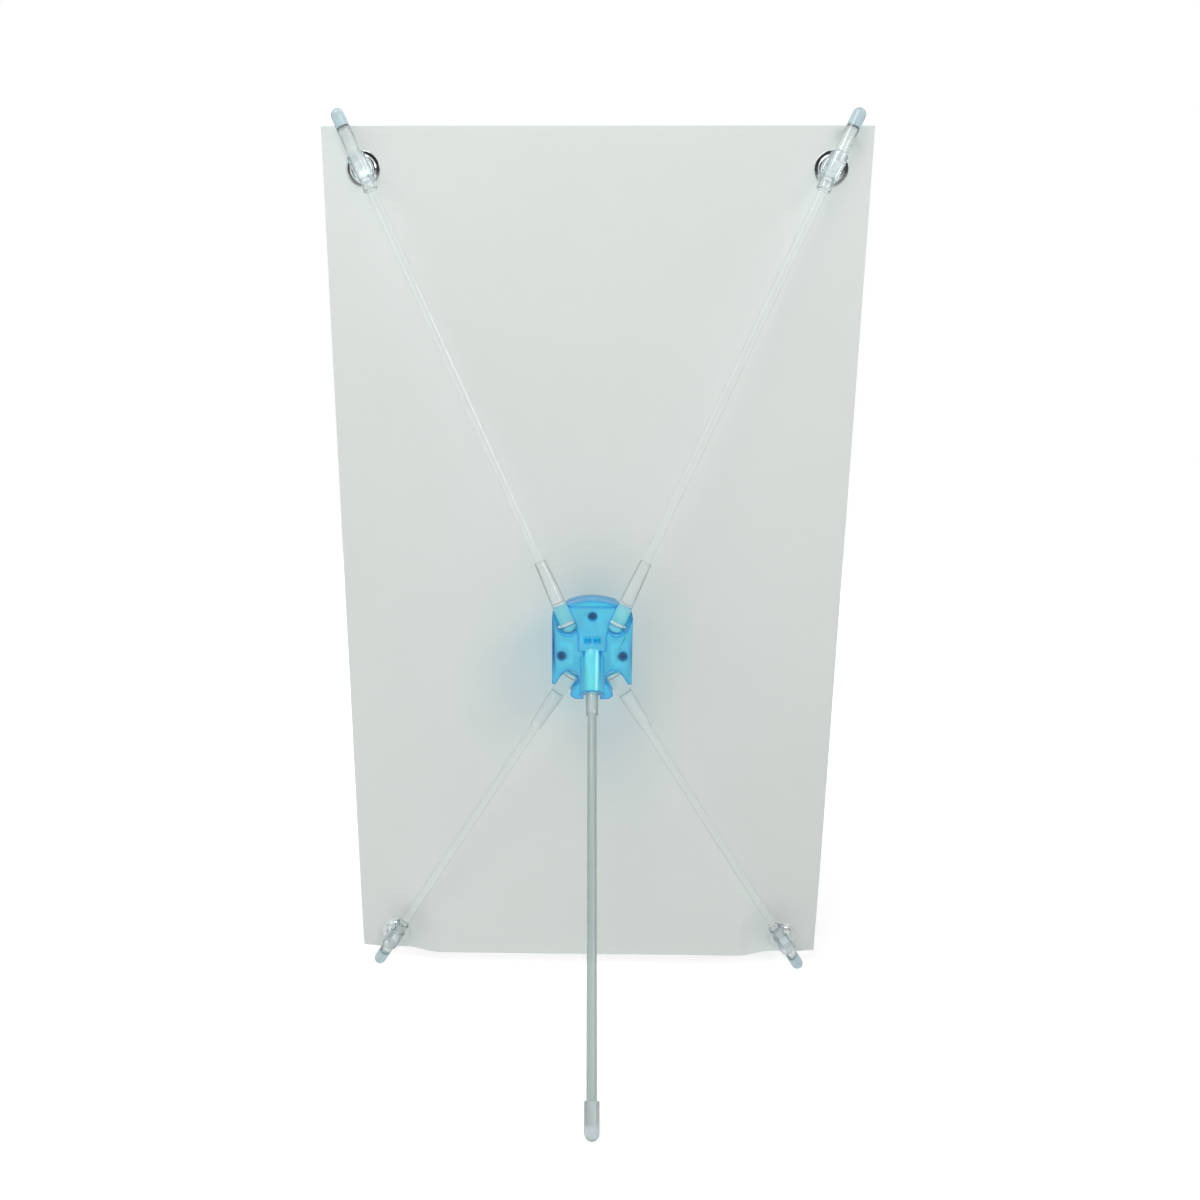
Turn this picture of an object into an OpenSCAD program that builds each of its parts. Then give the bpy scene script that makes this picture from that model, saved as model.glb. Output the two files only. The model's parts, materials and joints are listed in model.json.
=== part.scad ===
// Tabletop X-banner stand with its banner hooked on.
// Four clear arms and a rear leg hinge in a two-part hub. All sizes are in millimetres.
// The banner's printed front faces -Y and the leg stands behind it, at +Y.
// Left and right are named as seen from the front: left is at -X.

/* [Banner] */
// Width of the banner
banner_w = 250; // [180:1:300]
// Height of the banner
banner_h = 420; // [360:1:520]
// Thickness of the banner sheet
banner_t = 0.4; // [0.2:0.1:0.8]
// How far the stand leans back from upright, in degrees
lean = 9.5; // [5:0.5:15]

/* [Eyelets] */
// Clear hole through an eyelet
eyelet_hole = 8; // [7:0.5:10]
// Outside of the eyelet's front flange and of its washer
eyelet_d = 15.4; // [14:0.2:19]
// Wall of the eyelet's barrel
barrel_wall = 0.45; // [0.3:0.05:0.6]
// Height of the domed front flange
flange_h = 0.9; // [0.6:0.1:1.2]
// Width of the rolled rim behind the banner
roll_w = 2.2; // [1.6:0.1:2.6]
// Height of the rolled rim
roll_h = 0.8; // [0.5:0.1:1]
// Thickness of the washer
washer_t = 0.4; // [0.3:0.1:0.6]
// Eyelet centres in from the banner's side edges
eyelet_side_inset = 18.5; // [12:0.5:24]
// Upper eyelet centres down from the top edge
eyelet_top_inset = 18; // [12:0.5:24]
// Lower eyelet centres up from the bottom edge
eyelet_bottom_inset = 9.5; // [8.5:0.5:14]

/* [Hub] */
// Width of the hub
hub_w = 38.4; // [37:0.2:50]
// Height of the hub, from the tongue to the top of the arch
hub_h = 49; // [47:0.5:62]
// Thickness of the front shell's floor under an arm's hinge
front_floor = 2.1; // [1.8:0.1:4]
// Depth of the rear shell's flat part
rear_d = 7; // [6:0.1:9]
// Height of the hub's middle above the banner's bottom edge
hub_up = 183; // [140:1:230]
// Distance from the banner to the plane where the shells meet
hub_back = 27; // [22:0.5:40]
// Wall left around the hollows in the shells
hub_wall = 1.7; // [1.4:0.1:2.2]
// Half-width of the arched top
arch_half = 11.3; // [9:0.1:12]
// Half-width of the bottom tongue
tongue_half = 10.6; // [9:0.1:11]
// Height of the raised panels on the rear face
panel_h = 1.2; // [0.6:0.1:2]

/* [Arms] */
// Diameter of every rod
rod_d = 4.2; // [3.5:0.1:4.6]
// Diameter of an arm's root at its hinge
root_d = 8; // [6.6:0.1:9.6]
// Wall around the rod at a root's outer end
root_wall = 0.7; // [0.5:0.1:1.2]
// Length of an arm's root beyond its hinge
root_len = 33; // [24:1:44]
// Length of rod held inside a root
root_grip = 22; // [14:1:22]
// Upper hinges in from the hub's sides
upper_hinge_inset = 7.5; // [7.3:0.1:8]
// Upper hinges above the hub's middle
upper_hinge_up = 11.3; // [10.8:0.1:13]
// Lower hinges in from the hub's sides
lower_hinge_inset = 8.4; // [7.6:0.1:8.6]
// Lower hinges below the hub's middle
lower_hinge_down = 14.4; // [13.8:0.1:16]
// Distance from the banner to an arm's axis where it passes an eyelet
arm_over_eyelet = 6; // [5.6:0.1:8]

/* [Hook caps] */
// Wall of a hook cap and of the foot cap around the rod
cap_wall = 1; // [0.8:0.1:1.4]
// How far the collar at a hook cap's open end stands out
collar_step = 0.3; // [0.2:0.1:0.8]
// Length of that collar
collar_len = 1.6; // [1:0.1:3]
// Length of a hook cap on the hub's side of the eyelet
cap_setback = 11; // [9:0.5:14]
// Reach of an upper hook cap beyond the eyelet
upper_tip_reach = 27; // [22:0.5:34]
// Reach of a lower hook cap beyond the eyelet
lower_tip_reach = 20; // [18:0.5:28]
// Length of solid plastic at a cap's tip
tip_solid = 9; // [6:0.5:11]
// Diameter of the saddle that bears on the eyelet
saddle_d = 8.2; // [7.4:0.1:9]
// Length of the saddle along the arm
saddle_len = 13; // [11:0.5:16]
// Width of the saddle's flat foot on the eyelet's rim
saddle_foot = 6.6; // [5:0.2:7]
// Diameter of the peg where it meets the saddle
peg_d = 4; // [3.6:0.1:4.4]
// Diameter of the peg's end
peg_tip_d = 2.6; // [2:0.1:2.6]
// How far the peg stands out in front of the eyelet
peg_out = 1.5; // [0.8:0.1:2]

/* [Rear leg] */
// Angle of the rear leg from upright, in degrees
leg_splay = 30; // [26:0.5:36]
// Leg hinge below the hub's middle
leg_hinge_down = 3; // [1:0.5:4]
// Leg hinge behind the plane where the shells meet
leg_hinge_back = 5; // [4.8:0.1:6]
// Diameter of the leg's root at its hinge
leg_root_d = 7; // [6.6:0.1:7]
// Length of the leg's root beyond its hinge
leg_root_len = 30; // [24:1:40]
// Length of the hood that holds the deployed leg
hood_len = 20; // [14:0.5:21]
// Wall of the hood over the leg
hood_wall = 1.7; // [1.2:0.1:2]
// Length of the foot cap
foot_len = 14.7; // [12:0.1:20]
// Length of rod held in the foot cap
foot_grip = 9; // [6:0.5:10]

/* [Pins and screws] */
// Diameter of a hinge pin
pin_d = 2; // [1.6:0.1:2.4]
// How far an arm's hinge pin reaches into the shells at each end
pin_grip = 1.7; // [1:0.1:2]
// How far the leg's hinge pin reaches into the rear shell at each end
leg_pin_grip = 2.2; // [1:0.1:2.4]
// Diameter of a screw's shank
screw_d = 2.2; // [1.8:0.1:2.6]
// Diameter of a screw's head
screw_head_d = 4; // [3.6:0.1:4.6]
// Height of a screw's head
screw_head_h = 1.4; // [1:0.1:1.8]
// Length of a screw under its head
screw_len = 9; // [7:0.5:9.5]
// Side screws in from the hub's sides
side_screw_inset = 4.5; // [4:0.1:5]
// Side screws below the hub's middle
side_screw_down = 2.6; // [1:0.1:3.5]
// Top screw down from the top of the arch
top_screw_inset = 7.2; // [6:0.1:8]

/* [Clearances] */
// Gap around a root that turns between walls
turn_gap = 0.3; // [0.2:0.05:0.4]
// Gap between a pin and the hole that turns on it, on the radius
running_gap = 0.05; // [0.03:0.01:0.08]
// Gap around a piece that is held fast, on the radius
seat_gap = 0.03; // [0.02:0.01:0.06]
// Gap between a hook and the eyelet that pulls on it
hook_gap = 0.25; // [0.1:0.05:0.3]
// How much wider a slot's flat walls are than its round end, on each side
slot_ease = 0.1; // [0.05:0.05:0.15]
// Width of the cross cut in a screw's head
cross_w = 0.6; // [0.4:0.1:0.8]

/* [Hidden] */
$fn = 64;
bite = 0.01;
far = 100;
// How far a raised shape is sunk into what carries it, and a cut runs past the face it opens.
sink = 1;

// An arm is [side, tier]: side is -1 left or 1 right, tier is 1 upper or -1 lower.
ARMS = [for (tier = [1, -1], side = [-1, 1]) [side, tier]];

barrel_r = eyelet_hole / 2 + barrel_wall;
rear_face = banner_t / 2;
front_face = -banner_t / 2;
rim_face = rear_face + washer_t + roll_h;
saddle_face = rim_face + hook_gap;
peg_front = front_face - flange_h - peg_out;
// The stretched banner pulls each eyelet against the outer side of its peg.
peg_shift = (eyelet_hole - peg_d) / 2 - hook_gap;

// The frame of the stand: its origin is at the middle of the banner's bottom edge,
// Y points back from the banner and Z runs up it.
function eyelet_up(tier) = tier > 0 ? banner_h - eyelet_top_inset : eyelet_bottom_inset;
function eyelet_at(arm) = [arm[0] * (banner_w / 2 - eyelet_side_inset), 0, eyelet_up(arm[1])];
function hinge_x(tier) = hub_w / 2 - (tier > 0 ? upper_hinge_inset : lower_hinge_inset);
function hinge_z(tier) = tier > 0 ? upper_hinge_up : -lower_hinge_down;
function hinge_at(arm) = [arm[0] * hinge_x(arm[1]), hub_back, hub_up + hinge_z(arm[1])];
function arm_run(arm) = eyelet_at(arm) + [0, arm_over_eyelet, 0] - hinge_at(arm);
// Direction of an arm across the hub, from straight up towards +X.
function arm_turn(arm) = atan2(arm_run(arm)[0], arm_run(arm)[2]);
// How far an arm dips from the hub's plane towards the banner.
function arm_dip(arm) = asin(-arm_run(arm)[1] / norm(arm_run(arm)));
function tip_reach(tier) = tier > 0 ? upper_tip_reach : lower_tip_reach;
function cap_start(arm) = norm(arm_run(arm)) - cap_setback;
function cap_len(arm) = cap_setback + tip_reach(arm[1]);

// The lower tips touch the ground, and so does the foot of the leg.
cap_r = rod_d / 2 + cap_wall;
low_arm = [1, -1];
low_tip = eyelet_at(low_arm) + [0, arm_over_eyelet, 0]
    + (lower_tip_reach - cap_r) * arm_run(low_arm) / norm(arm_run(low_arm));
stand_z = cap_r + low_tip[1] * sin(lean) - low_tip[2] * cos(lean);
leg_hinge = [0, hub_back + leg_hinge_back, hub_up - leg_hinge_down];
leg_hinge_z = stand_z - leg_hinge[1] * sin(lean) + leg_hinge[2] * cos(lean);
leg_len = (leg_hinge_z - cap_r) / cos(leg_splay);
// Angle between the deployed leg and the hub's plane.
leg_open = leg_splay + lean;

// The origin is under the middle of the whole stand, from the pegs in front to the foot.
peg_low = eyelet_bottom_inset + peg_shift * cos(arm_turn(low_arm)) - peg_tip_d / 2;
front_y = peg_front * cos(lean) + peg_low * sin(lean);
foot_y = leg_hinge[1] * cos(lean) + leg_hinge[2] * sin(lean) + leg_len * sin(leg_splay);
stand_y = -(front_y + foot_y + cap_r) / 2;

// Hub shape.
knuckle_slot = root_d / 2 + turn_gap;
leg_slot = leg_root_d / 2 + turn_gap;
front_d = knuckle_slot + front_floor;
pin_len = 2 * (knuckle_slot + pin_grip);
leg_pin_len = 2 * (leg_slot + leg_pin_grip);
hood_r = leg_slot + hood_wall;
side_top = hub_h / 2 - 8;
side_bottom = hub_h / 2 - 7.5;
arch_rise = 2.1;
shoulder_z = hub_h / 2 - arch_rise;
arch_r = (arch_half * arch_half + arch_rise * arch_rise) / (2 * arch_rise);
tongue_corner = 3.5;
scallop_r = 3.4;
scallop_drop = 1;
SCREWS = [[0, hub_h / 2 - top_screw_inset],
    [-(hub_w / 2 - side_screw_inset), -side_screw_down],
    [hub_w / 2 - side_screw_inset, -side_screw_down]];
screw_wall = 1.5;
screw_bottom = rear_d - screw_head_h - screw_len;
cross_len = 0.6 * screw_head_d;
hood_root = 4;
cheek_drop = 5;
block_half = 6.6;
block_top = 8;
panel_drop = 3;
pocket_floor = hub_wall;
pocket_drop = 2;
window_size = 3;
window_gap = 1.4;
window_drop = 2.5;

module stand() {
    translate([0, stand_y, stand_z]) rotate([-lean, 0, 0]) children();
}

module hub_place() {
    stand() translate([0, hub_back, hub_up]) children();
}

// Turns a drawing in the XY plane upright, so that its Y is the hub's Z.
module upright(from, to) {
    translate([0, to, 0]) rotate([90, 0, 0]) linear_extrude(height = to - from) children();
}

// Places children with their Z along the arm, from its hinge.
module along_arm(arm) {
    translate(hinge_at(arm)) rotate([arm_dip(arm), arm_turn(arm), 0]) children();
}

// The same within the hub's own frame.
module along_arm_in_hub(arm) {
    translate([arm[0] * hinge_x(arm[1]), 0, hinge_z(arm[1])])
        rotate([arm_dip(arm), arm_turn(arm), 0]) children();
}

// Places children with their Z along the deployed leg, in the hub's own frame.
module along_leg_in_hub() {
    translate([0, leg_hinge_back, -leg_hinge_down]) rotate([180 + leg_open, 0, 0]) children();
}

// A ring with a domed face, for flanges and rolled rims.
module domed_ring(inner_r, outer_r, height) {
    half = (outer_r - inner_r) / 2;
    dome_r = (half * half + height * height) / (2 * height);
    rotate_extrude() intersection() {
        translate([inner_r + half, height - dome_r]) circle(r = dome_r);
        translate([inner_r, 0]) square([2 * half, height]);
    }
}

module at_eyelets() {
    for (arm = ARMS) translate(eyelet_at(arm)) rotate([-90, 0, 0]) children();
}

module banner() {
    color("whitesmoke") stand() difference() {
        translate([-banner_w / 2, front_face, 0]) cube([banner_w, banner_t, banner_h]);
        at_eyelets() cylinder(r = barrel_r + seat_gap, h = far, center = true);
    }
}

module eyelets() {
    color("silver") stand() at_eyelets() {
        difference() {
            union() {
                translate([0, 0, front_face]) mirror([0, 0, 1])
                    domed_ring(eyelet_hole / 2, eyelet_d / 2, flange_h);
                translate([0, 0, front_face - flange_h / 4])
                    cylinder(r = barrel_r, h = banner_t + washer_t + flange_h / 4 + roll_h / 4);
                translate([0, 0, rear_face + washer_t])
                    domed_ring(eyelet_hole / 2, eyelet_hole / 2 + roll_w, roll_h);
            }
            cylinder(d = eyelet_hole, h = far, center = true);
        }
    }
}

module eyelet_washers() {
    color("lightgray") stand() at_eyelets() translate([0, 0, rear_face]) difference() {
        cylinder(d = eyelet_d, h = washer_t);
        cylinder(r = barrel_r + seat_gap, h = far, center = true);
    }
}

// The hub's outline as a plate between two depths.
module hub_plate(from, to) {
    difference() {
        union() {
            upright(from, to) polygon([[-hub_w / 2, side_top], [-arch_half, shoulder_z],
                [arch_half, shoulder_z], [hub_w / 2, side_top],
                [hub_w / 2, -side_bottom], [-hub_w / 2, -side_bottom]]);
            upright(from, to) intersection() {
                translate([0, hub_h / 2 - arch_r]) circle(r = arch_r);
                translate([-arch_half, 0]) square([2 * arch_half, hub_h / 2]);
            }
            tongue(from, to);
        }
        for (side = [-1, 1])
            translate([side * (tongue_half + scallop_r), 0, -side_bottom - scallop_drop])
                rotate([90, 0, 0]) cylinder(r = scallop_r, h = far, center = true);
    }
}

module tongue(from, to) {
    straight = hub_h / 2 - tongue_corner;
    between = 2 * (tongue_half - tongue_corner);
    upright(from, to) translate([-tongue_half, -straight]) square([2 * tongue_half, straight]);
    upright(from, to) translate([-between / 2, -hub_h / 2]) square([between, hub_h / 2]);
    for (side = [-1, 1]) upright(from, to)
        translate([side * between / 2, -straight]) circle(r = tongue_corner);
}

// The hollow beside the leg on each side, drawn in the hub's plane.
module side_hollow() {
    inner = block_half + hub_wall;
    top = hinge_z(1) - knuckle_slot - hub_wall - pocket_drop;
    bottom = hinge_z(-1) + knuckle_slot + hub_wall;
    for (side = [-1, 1]) difference() {
        translate([side > 0 ? inner : -(hub_w / 2 - hub_wall), bottom])
            square([hub_w / 2 - hub_wall - inner, top - bottom]);
        translate(SCREWS[side > 0 ? 2 : 1]) circle(d = screw_head_d + 2 * screw_wall);
    }
}

// Room for one arm's root: a round seat in front and an open slot behind.
module arm_room(arm) {
    along_arm_in_hub(arm) {
        sphere(r = knuckle_slot);
        cylinder(r = knuckle_slot, h = far);
    }
    translate([arm[0] * hinge_x(arm[1]), 0, hinge_z(arm[1])]) rotate([0, arm_turn(arm), 0]) {
        rotate([-90, 0, 0]) cylinder(r = knuckle_slot, h = far);
        translate([-knuckle_slot - slot_ease, 0, 0])
            cube([2 * (knuckle_slot + slot_ease), far, far]);
    }
}

module pin_seat(length) {
    rotate([0, 90, 0]) cylinder(d = pin_d + 2 * seat_gap, h = length + 2 * seat_gap, center = true);
}

module arm_pin_seats() {
    for (arm = ARMS) along_arm_in_hub(arm) pin_seat(pin_len);
}

module hub_front_shell() {
    color("deepskyblue") hub_place() difference() {
        hub_plate(-front_d, 0);
        upright(-front_d + pocket_floor, sink) side_hollow();
        for (arm = ARMS) arm_room(arm);
        arm_pin_seats();
        for (place = SCREWS) translate([place[0], screw_bottom - seat_gap, place[1]])
            rotate([-90, 0, 0]) cylinder(d = screw_d + 2 * seat_gap, h = far);
    }
}

// The sweep of the leg's root, from folded against the hub to deployed.
module leg_room() {
    half = leg_slot + slot_ease;
    along_leg_in_hub() cylinder(r = leg_slot, h = far);
    translate([0, leg_hinge_back, -leg_hinge_down]) rotate([0, 90, 0]) {
        cylinder(r = half, h = 2 * half, center = true);
        linear_extrude(height = 2 * half, center = true)
            polygon([[0, -leg_slot], [far, -leg_slot],
                [far * cos(leg_open), far * sin(leg_open)], [0, 0]]);
    }
}

// The hood: cheeks on both sides of the leg and a round roof that stops it.
module hood() {
    mouth = [leg_hinge_back + hood_len * sin(leg_open),
        -leg_hinge_down - hood_len * cos(leg_open)];
    cheek_foot = mouth[1] - cheek_drop;
    rotate([90, 0, 90]) linear_extrude(height = 2 * (hood_r + slot_ease), center = true)
        polygon([[0, 0], [leg_hinge_back, -leg_hinge_down], mouth,
            [rear_d - sink, cheek_foot], [0, cheek_foot]]);
    along_leg_in_hub() translate([0, 0, -hood_root]) cylinder(r = hood_r, h = hood_root + hood_len);
}

module rear_panels() {
    upright(rear_d - sink, rear_d + panel_h) {
        polygon([[-arch_half, hub_h / 2 - panel_drop], [arch_half, hub_h / 2 - panel_drop],
            [block_half, block_top - bite], [-block_half, block_top - bite]]);
        translate([-block_half, 0]) square([2 * block_half, block_top]);
    }
}

module hub_rear_shell() {
    color("deepskyblue") hub_place() difference() {
        union() {
            hub_plate(0, rear_d);
            rear_panels();
            intersection() {
                hood();
                translate([-hub_w / 2, 0, -hub_h]) cube([hub_w, far, 2 * hub_h]);
            }
        }
        upright(-sink, rear_d - pocket_floor) side_hollow();
        for (arm = ARMS) arm_room(arm);
        arm_pin_seats();
        leg_room();
        translate([0, leg_hinge_back, -leg_hinge_down]) pin_seat(leg_pin_len);
        for (side = [-1, 1])
            translate([side * (window_gap + window_size) / 2, rear_d, block_top - window_drop])
                cube([window_size, far, window_size], center = true);
        for (place = SCREWS) translate([place[0], 0, place[1]]) rotate([-90, 0, 0]) {
            cylinder(d = screw_d + 2 * seat_gap, h = far, center = true);
            translate([0, 0, rear_d - screw_head_h]) cylinder(d = screw_head_d + 2 * seat_gap, h = far);
        }
    }
}

module hub_screws() {
    color("dimgray") hub_place() for (place = SCREWS)
        translate([place[0], rear_d - screw_head_h, place[1]]) rotate([-90, 0, 0]) difference() {
            union() {
                cylinder(d = screw_head_d, h = screw_head_h);
                mirror([0, 0, 1]) cylinder(d = screw_d, h = screw_len);
            }
            for (turn = [0, 90]) rotate([0, 0, turn]) translate([0, 0, screw_head_h])
                cube([cross_len, cross_w, screw_head_h], center = true);
        }
}

module root(at_hinge_d, length) {
    difference() {
        union() {
            sphere(d = at_hinge_d);
            cylinder(d1 = at_hinge_d, d2 = rod_d + 2 * root_wall, h = length);
        }
        rotate([0, 90, 0]) cylinder(d = pin_d + 2 * running_gap, h = far, center = true);
        translate([0, 0, length - root_grip]) cylinder(d = rod_d + 2 * seat_gap, h = far);
    }
}

module arm_root(arm) {
    color("azure", 0.6) stand() along_arm(arm) root(root_d, root_len);
}

module arm_rod(arm) {
    color("azure", 0.6) stand() along_arm(arm) translate([0, 0, root_len - root_grip])
        cylinder(d = rod_d, h = cap_start(arm) + cap_len(arm) - tip_solid - root_len + root_grip);
}

module arm_hook_cap(arm) {
    length = cap_len(arm);
    color("lightcyan", 0.6) stand() difference() {
        union() {
            along_arm(arm) translate([0, 0, cap_start(arm)]) {
                cylinder(r = cap_r, h = length - cap_r);
                cylinder(r = cap_r + collar_step, h = collar_len);
                translate([0, 0, length - cap_r]) sphere(r = cap_r);
            }
            hook(arm);
        }
        along_arm(arm) translate([0, 0, cap_start(arm) - sink])
            cylinder(d = rod_d + 2 * seat_gap, h = length - tip_solid + sink);
    }
}

// A wide saddle behind the eyelet and a tapered peg through it, so that the arm swings clear.
module hook(arm) {
    chamfer = saddle_d / 2 - cap_r;
    difference() {
        along_arm(arm) translate([0, 0, norm(arm_run(arm)) - saddle_len / 2]) {
            cylinder(r1 = cap_r, r2 = saddle_d / 2, h = chamfer);
            translate([0, 0, chamfer]) cylinder(d = saddle_d, h = saddle_len - 2 * chamfer);
            translate([0, 0, saddle_len - chamfer])
                cylinder(r1 = saddle_d / 2, r2 = cap_r, h = chamfer);
        }
        translate(eyelet_at(arm) - [far, far - saddle_face, far]) cube([2 * far, far, 2 * far]);
    }
    translate(eyelet_at(arm)) rotate([0, arm_turn(arm), 0]) {
        translate([-saddle_foot / 2, saddle_face, chamfer - saddle_len / 2])
            cube([saddle_foot, arm_over_eyelet - saddle_face, saddle_len - 2 * chamfer]);
        translate([0, saddle_face, peg_shift]) rotate([90, 0, 0]) {
            cylinder(d1 = peg_d, d2 = peg_tip_d, h = saddle_face - peg_front);
            mirror([0, 0, 1]) cylinder(d = peg_d, h = sink);
        }
    }
}

module arm_hinge_pin(arm) {
    color("gainsboro") stand() along_arm(arm) rotate([0, 90, 0])
        cylinder(d = pin_d, h = pin_len, center = true);
}

module leg_root() {
    color("azure", 0.6) hub_place() along_leg_in_hub() root(leg_root_d, leg_root_len);
}

module leg_rod() {
    color("azure", 0.6) hub_place() along_leg_in_hub() translate([0, 0, leg_root_len - root_grip])
        cylinder(d = rod_d, h = leg_len + cap_r - foot_len + foot_grip - leg_root_len + root_grip);
}

module leg_foot_cap() {
    color("lightcyan", 0.6) hub_place() along_leg_in_hub()
        translate([0, 0, leg_len + cap_r - foot_len]) difference() {
            union() {
                cylinder(r = cap_r, h = foot_len - cap_r);
                translate([0, 0, foot_len - cap_r]) sphere(r = cap_r);
            }
            translate([0, 0, -sink]) cylinder(d = rod_d + 2 * seat_gap, h = foot_grip + sink);
        }
}

module leg_hinge_pin() {
    color("gainsboro") hub_place() translate([0, leg_hinge_back, -leg_hinge_down])
        rotate([0, 90, 0]) cylinder(d = pin_d, h = leg_pin_len, center = true);
}

banner();
eyelets();
eyelet_washers();
hub_front_shell();
hub_rear_shell();
hub_screws();
for (arm = ARMS) {
    name = str(arm[1] > 0 ? "upper" : "lower", "_", arm[0] < 0 ? "left" : "right");
    arm_root(arm);
    arm_rod(arm);
    arm_hook_cap(arm);
    arm_hinge_pin(arm);
}
leg_root();
leg_rod();
leg_foot_cap();
leg_hinge_pin();
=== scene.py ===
"""Finish of a tabletop X-banner stand: banner film, nickel eyelets, clear arms and a blue hub."""

import json
import math

import bmesh
import bpy
import numpy as np
from bpy.props import FloatProperty, FloatVectorProperty, IntProperty, PointerProperty
from bpy.types import Operator, Panel, PropertyGroup
from mathutils import Matrix, Vector, noise


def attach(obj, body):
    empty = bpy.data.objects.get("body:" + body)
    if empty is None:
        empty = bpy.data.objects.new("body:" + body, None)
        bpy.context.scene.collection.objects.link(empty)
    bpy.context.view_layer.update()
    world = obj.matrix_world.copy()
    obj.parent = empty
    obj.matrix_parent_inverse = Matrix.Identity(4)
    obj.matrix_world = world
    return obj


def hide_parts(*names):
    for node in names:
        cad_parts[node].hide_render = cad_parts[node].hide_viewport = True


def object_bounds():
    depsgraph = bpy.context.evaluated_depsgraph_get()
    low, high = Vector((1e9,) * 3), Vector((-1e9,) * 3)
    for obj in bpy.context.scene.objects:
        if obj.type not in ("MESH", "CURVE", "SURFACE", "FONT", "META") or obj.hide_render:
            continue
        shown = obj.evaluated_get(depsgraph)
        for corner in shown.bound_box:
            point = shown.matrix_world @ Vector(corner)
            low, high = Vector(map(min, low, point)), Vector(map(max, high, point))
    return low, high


bl_info = {
    "name": "Tabletop Banner Stand",
    "version": (1, 0, 0),
    "blender": (4, 5, 0),
    "location": "3D View > Sidebar > Banner Stand",
    "description": "Makes the visible pieces of a tabletop banner stand around its packed frame",
    "category": "Object",
}

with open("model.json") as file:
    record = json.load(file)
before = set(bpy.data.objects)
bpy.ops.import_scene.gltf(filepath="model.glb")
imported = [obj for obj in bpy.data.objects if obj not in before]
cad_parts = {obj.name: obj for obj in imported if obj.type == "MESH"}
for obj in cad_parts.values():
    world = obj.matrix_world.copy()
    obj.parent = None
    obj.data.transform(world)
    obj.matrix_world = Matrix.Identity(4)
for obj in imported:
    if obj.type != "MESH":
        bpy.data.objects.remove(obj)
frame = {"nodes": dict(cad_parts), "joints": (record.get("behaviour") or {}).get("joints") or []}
bpy.context.view_layer.update()
CAD_BOX = [list(corner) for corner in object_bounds()]
NODES = frame["nodes"]
JOINTS = {joint["name"]: joint for joint in frame["joints"]}
ARMS = ("upper_left", "upper_right", "lower_left", "lower_right")
MM = 0.001

# The film and its holes, beside what is measured from the frame.
FILM_HOLE = 4.48 * MM  # radius of a hole
HOLE_SURROUND = 8 * MM  # half of the square that the rings of cells round a hole fill
HOLE_RINGS = 4
HOLE_CROWDING = 0.8  # under 1, the rings crowd towards the hole

# How the film's bow, curls, folds and ripples spread over it.
BOW_SIDES = (5 * MM, 34 * MM)  # from the sides, where the bow starts and where it is full
BOW_HEIGHT = 60 * MM
CURL_WIDTH = 12 * MM
TOP_CURL_WIDTH = 20 * MM
TOP_CURL_SHARE = 0.5
CURL_HEIGHT = 30 * MM
FOLD_LENGTH = 75 * MM
FOLD_FAN = 0.5  # half angle of a fan, in radians
FOLD_WAVES = 9  # folds to a whole turn round an eyelet
FOLD_AIM = 0.44  # the fans point at this share of the film's height
RIPPLES = (9, 7)  # to a metre, across and up
RIPPLE_SLICE = 0.3  # which slice of the noise the ripples are

# The eyelets. The last three say, in eyelet radii, where the film starts to leave its plane and is free.
EYELET_RADIUS = 7.7 * MM
EYELET_REACH = 12 * MM  # how far round an eyelet's middle its own corners are looked for
BARREL_WALL = 0.45 * MM
ROLL_WIDTH = 2.2 * MM
TUCK = 0.1 * MM  # how far the domes end short of the film and of the washer
WASHER_ROUND = 0.15 * MM
LIFT_REACH = (1.1, 3.4)
FOLD_REACH = (1, 3)
CURL_REACH = (1, 1.9)

# Rounded edges of the small mouldings and pins, the foot, the screws and the ends of the rods.
SMALL_ROUND = 0.2 * MM
FOOT_ROUND = 0.3 * MM
SCREW_ROUND = 0.12 * MM
ROD_END_ROUND = 0.3 * MM
TIP_PAST_ROD = 0.3 * MM  # from a rod's end to where its cap is solid and deeper in colour

# Corners this close are one corner, and edges this close to where two walls touch stay sharp.
WELD_REACH = MM / 500
TOUCH_REACH = 2 * MM

# Angles, in degrees, at which faces meet: nearly flat, sharp enough to round, and shaded as an edge.
FLAT_ANGLE = 0.8
ROUNDED_ANGLE = 38
SHADED_ANGLE = 32

# Rings of corners on a bar: on each rounded end, and along the bar with its two ends.
BAR_END_RINGS = 4
BAR_RINGS = 14

# The see-through plastics.
PLASTIC_IOR = 1.49
RIM_SHADE_RANGE = (0.34, 0.88)  # of the slant to the view, where the rim's painted shade starts and is full
EDGE_SHADE_RANGE = (0.93, 0.999)  # cosines between rounded and plain normals, on an edge and off it, for the painted edge shade

# What shiny surfaces see of the studio, from straight down to straight up, as (height, brightness).
SHINY_BANDS = ((0.0, 0.75), (0.38, 0.9), (0.44, 0.04), (0.66, 0.03),
               (0.73, 0.95), (0.86, 1.0), (0.93, 0.3), (1.0, 0.2))

# Each lamp's name, place, width, shape and the name of its power in StudioLook.
LAMPS = (
    ("key_lamp", (-1.0, 0.95, 0.8), 0.6, "DISK", "key"),
    ("side_lamp", (0.95, 0.75, 0.6), 1.2, "SQUARE", "side"),
    ("top_lamp", (0.2, 0.6, 1.0), 0.5, "DISK", "top"),
    ("front_lamp", (0.7, -1.1, 0.9), 0.9, "DISK", "fill"),
)
LAMP_TARGET = (0, 0, 0.2)
FLOOR_HALF = 6
FLOOR_GLOW_REACH = (0.2, 1.6)  # from the middle, where the floor's glow starts to rise and is full
BOUNCES = {"max": 32, "glossy": 12, "transmission": 28, "transparent_max": 32}

# The stand's own directions: across the banner, out of its back and up it.
ACROSS = Vector((1, 0, 0))
BACK = -Vector(JOINTS["banner_unhook"]["axis"]).normalized()
UP = ACROSS.cross(BACK)


# ---------------------------------------------------------------- measuring the frame


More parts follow.
